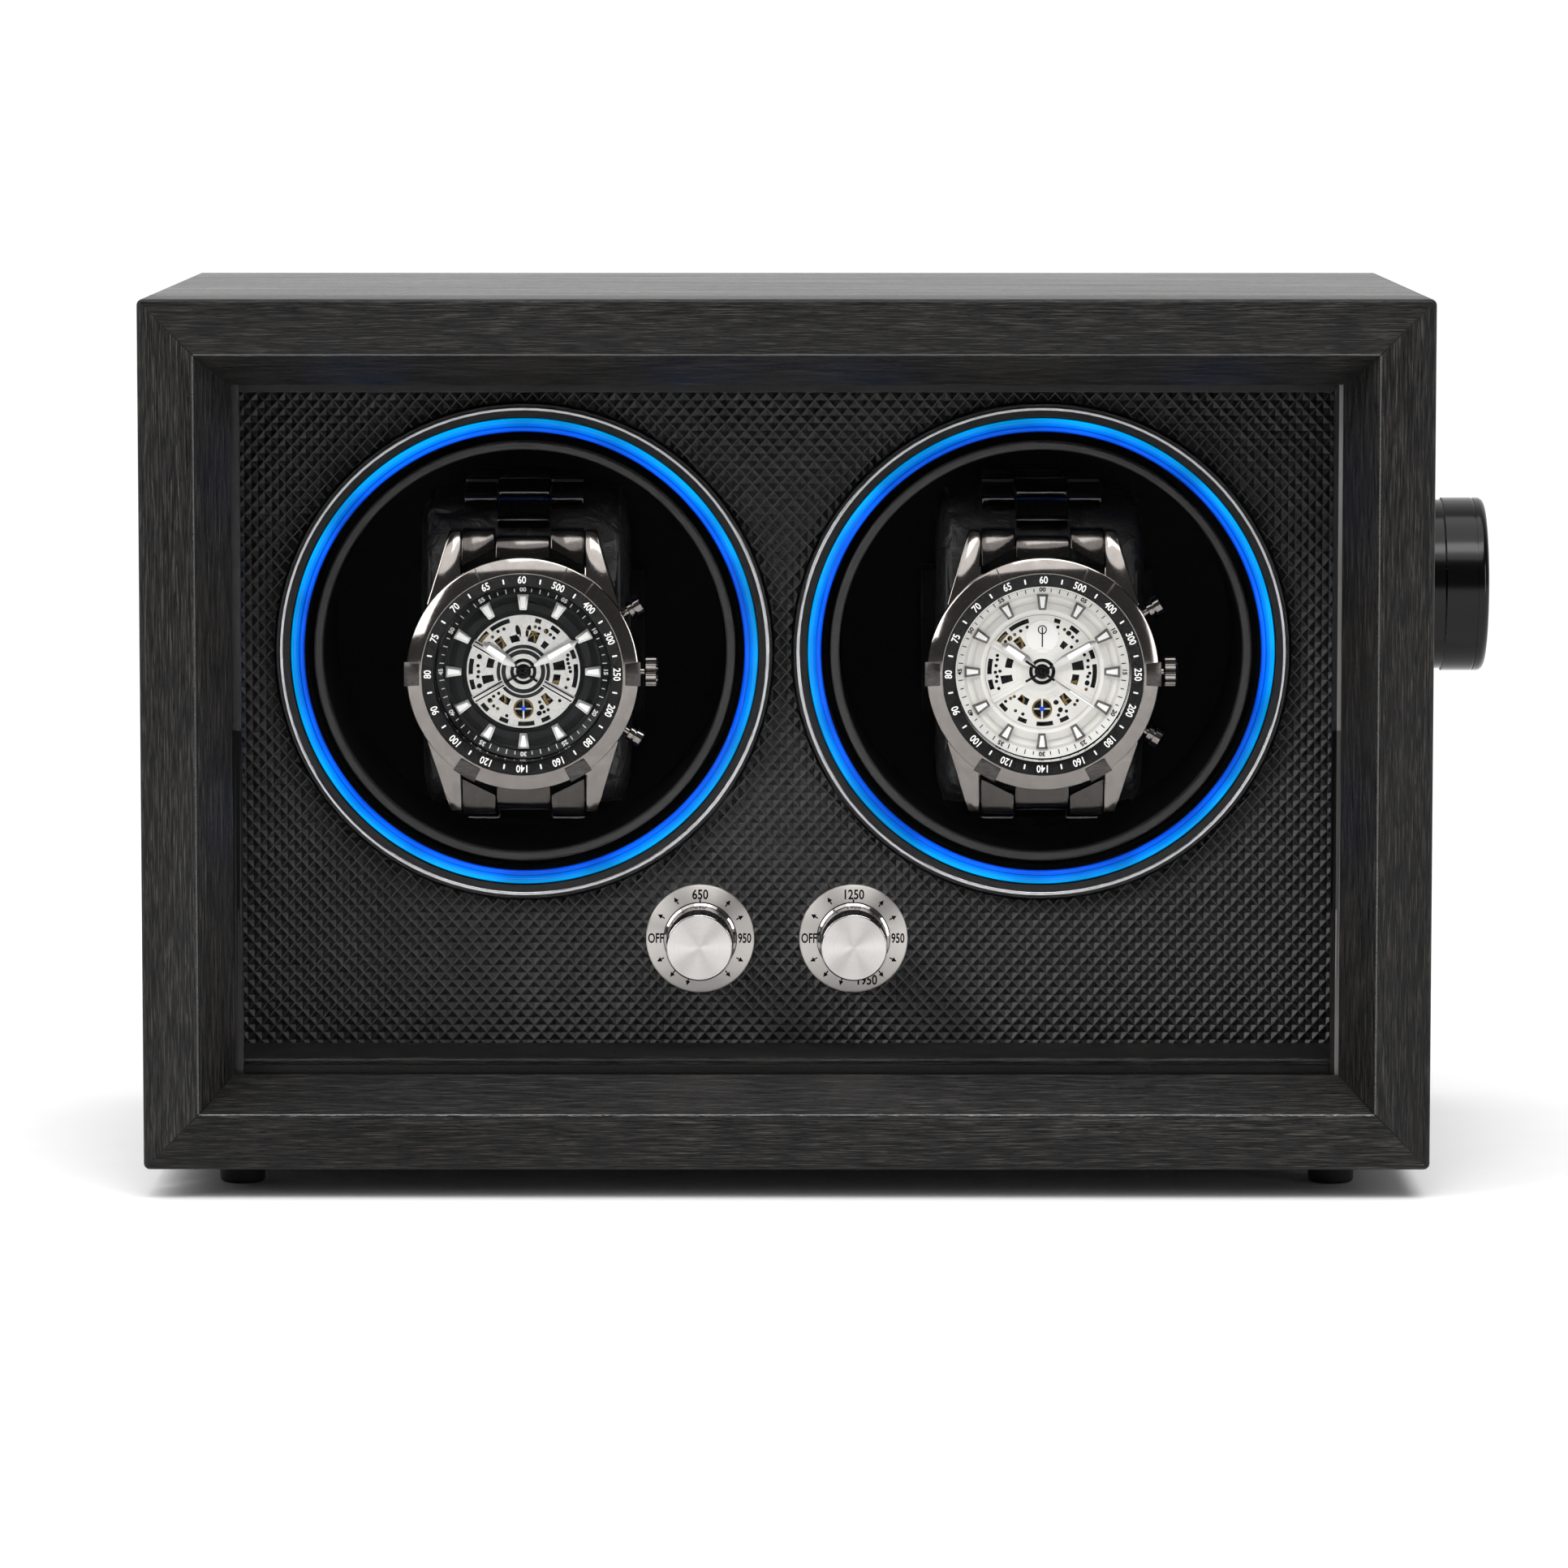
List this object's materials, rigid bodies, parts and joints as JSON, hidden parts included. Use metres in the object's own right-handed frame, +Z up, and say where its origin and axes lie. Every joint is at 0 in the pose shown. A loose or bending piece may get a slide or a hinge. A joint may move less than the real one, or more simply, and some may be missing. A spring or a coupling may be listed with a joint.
{
  "type": "watch winder box",
  "caption": "Wooden twin watch winder box with a hinged glazed front door, two turning cups holding watches on cushions, lit rings, speed dials and a side light knob.",
  "frame": {"origin": "centre of the overall outline, side knob included, on the surface that the feet stand on", "axes": "+Z up, -Y out of the glazed front, +X to the side with the light knob"},
  "size_m": [0.263, 0.15, 0.175],
  "materials": {
    "black_wood": "open-grain wood stained and lacquered near black, satin",
    "back_board": "painted matt black fibreboard",
    "rubber": "matt black moulded rubber",
    "leather": "black leather embossed with small diamonds",
    "cushion_leather": "soft black leather over foam",
    "board_core": "raw fibreboard behind the leather",
    "gloss_black": "moulded gloss black",
    "matte_black": "moulded satin black",
    "grey_plastic": "satin dark grey",
    "chrome": "bright chrome",
    "steel": "brushed and polished steel",
    "brushed_plate": "turned steel plate, circular brushing",
    "clear_window": "clear acrylic",
    "watch_glass": "clear watch glass",
    "circuit": "green circuit board",
    "motor": "plated motor can",
    "hinge_steel": "dark nickel hinge",
    "dial_black": "black and silver open-worked dial",
    "dial_white": "white and silver open-worked dial",
    "magnet": "nickel-plated magnet",
    "light_guide": "edge-lit acrylic, glows blue"
  },
  "bodies": {
    "case": {"case_top_board": "black_wood", "case_bottom_board": "black_wood", "case_sides": "black_wood", "rear_panel": "back_board", "rear_panel_screws": "hinge_steel", "rubber_feet": "rubber", "recess_liner": "black_wood", "front_panel": "board_core", "panel_leather": "leather", "light_bezels": "gloss_black", "chrome_rings": "chrome", "light_guides": "light_guide", "led_boards": "circuit", "drum_housings": "matte_black", "gear_motors": "motor", "dial_plates": "brushed_plate", "rotary_switches": "matte_black", "control_board": "circuit", "dc_jack": "matte_black", "light_dimmer": "matte_black", "light_knob_collar": "matte_black", "hinge_case_leaves": "hinge_steel", "catch_magnets": "magnet"},
    "door": {"door_rails": "black_wood", "door_stiles": "black_wood", "door_window": "clear_window", "window_beads": "matte_black", "hinge_door_leaves": "hinge_steel", "hinge_pins": "hinge_steel", "catch_plates": "magnet"},
    "speed_knob_l": {"speed_knob_left": "steel"},
    "speed_knob_r": {"speed_knob_right": "steel"},
    "light_dial": {"light_knob": "matte_black"},
    "rotor_left": {"rotor_left_cup": "matte_black", "rotor_left_rim": "grey_plastic", "cushion_left": "cushion_leather", "watch_left_case": "steel", "watch_left_bezel": "steel", "watch_left_crystal": "watch_glass", "watch_left_dial": "dial_black", "watch_left_bracelet": "steel"},
    "minute_l": {"watch_left_minute_hand": "steel"},
    "hour_l": {"watch_left_hour_hand": "steel"},
    "crown_l": {"watch_left_crown": "steel"},
    "pusher_upper_l": {"watch_left_pusher_upper": "steel"},
    "pusher_lower_l": {"watch_left_pusher_lower": "steel"},
    "rotor_right": {"rotor_right_cup": "matte_black", "rotor_right_rim": "grey_plastic", "cushion_right": "cushion_leather", "watch_right_case": "steel", "watch_right_bezel": "steel", "watch_right_crystal": "watch_glass", "watch_right_dial": "dial_white", "watch_right_bracelet": "steel"},
    "minute_r": {"watch_right_minute_hand": "steel"},
    "hour_r": {"watch_right_hour_hand": "steel"},
    "crown_r": {"watch_right_crown": "steel"},
    "pusher_upper_r": {"watch_right_pusher_upper": "steel"},
    "pusher_lower_r": {"watch_right_pusher_lower": "steel"},
    "seconds_r": {"watch_right_seconds_hand": "steel"}
  },
  "joints": [
    {"name": "door_swing", "type": "hinge", "parent": "case", "child": "door", "pos_m": [-0.1299, -0.0566, 0.0905], "axis": [0, 0, -1], "range_deg": [0, 108]},
    {"name": "rotor_left_spin", "type": "hinge", "parent": "case", "child": "rotor_left", "pos_m": [-0.0585, 0, 0.1038], "axis": [0, 1, 0], "continuous": true},
    {"name": "minute_hand_left", "type": "hinge", "parent": "rotor_left", "child": "minute_l", "pos_m": [-0.0585, -0.042, 0.1004], "axis": [0, 1, 0], "continuous": true},
    {"name": "hour_hand_left", "type": "hinge", "parent": "rotor_left", "child": "hour_l", "pos_m": [-0.0585, -0.042, 0.1004], "axis": [0, 1, 0], "continuous": true},
    {"name": "crown_turn_left", "type": "hinge", "parent": "rotor_left", "child": "crown_l", "pos_m": [-0.0585, -0.042, 0.1004], "axis": [1, 0, 0], "continuous": true},
    {"name": "pusher_upper_left_press", "type": "slide", "parent": "rotor_left", "child": "pusher_upper_l", "axis": [-0.866, 0, -0.5], "range_m": [0, 0.0008], "stiffness_N_per_m": 600, "springref_m": -0.0006},
    {"name": "pusher_lower_left_press", "type": "slide", "parent": "rotor_left", "child": "pusher_lower_l", "axis": [-0.866, 0, 0.5], "range_m": [0, 0.0008], "stiffness_N_per_m": 600, "springref_m": -0.0006},
    {"name": "speed_knob_left_turn", "type": "hinge", "parent": "case", "child": "speed_knob_l", "pos_m": [-0.02375, -0.042, 0.0464], "axis": [0, 1, 0], "range_deg": [0, 270]},
    {"name": "rotor_right_spin", "type": "hinge", "parent": "case", "child": "rotor_right", "pos_m": [0.0439, 0, 0.1038], "axis": [0, 1, 0], "continuous": true},
    {"name": "minute_hand_right", "type": "hinge", "parent": "rotor_right", "child": "minute_r", "pos_m": [0.0439, -0.042, 0.1004], "axis": [0, 1, 0], "continuous": true},
    {"name": "hour_hand_right", "type": "hinge", "parent": "rotor_right", "child": "hour_r", "pos_m": [0.0439, -0.042, 0.1004], "axis": [0, 1, 0], "continuous": true},
    {"name": "crown_turn_right", "type": "hinge", "parent": "rotor_right", "child": "crown_r", "pos_m": [0.0439, -0.042, 0.1004], "axis": [1, 0, 0], "continuous": true},
    {"name": "pusher_upper_right_press", "type": "slide", "parent": "rotor_right", "child": "pusher_upper_r", "axis": [-0.866, 0, -0.5], "range_m": [0, 0.0008], "stiffness_N_per_m": 600, "springref_m": -0.0006},
    {"name": "pusher_lower_right_press", "type": "slide", "parent": "rotor_right", "child": "pusher_lower_r", "axis": [-0.866, 0, 0.5], "range_m": [0, 0.0008], "stiffness_N_per_m": 600, "springref_m": -0.0006},
    {"name": "speed_knob_right_turn", "type": "hinge", "parent": "case", "child": "speed_knob_r", "pos_m": [0.00675, -0.042, 0.0464], "axis": [0, 1, 0], "range_deg": [0, 270]},
    {"name": "seconds_hand_right", "type": "hinge", "parent": "rotor_right", "child": "seconds_r", "pos_m": [0.0439, -0.042, 0.1004], "axis": [0, 1, 0], "continuous": true},
    {"name": "light_knob_turn", "type": "hinge", "parent": "case", "child": "light_dial", "pos_m": [0.1273, -0.032, 0.117], "axis": [1, 0, 0], "range_deg": [0, 300]}
  ],
  "couplings": [
    {"joint": "hour_hand_left", "follows": "minute_hand_left", "ratio": 0.083333},
    {"joint": "hour_hand_right", "follows": "minute_hand_right", "ratio": 0.083333}
  ]
}
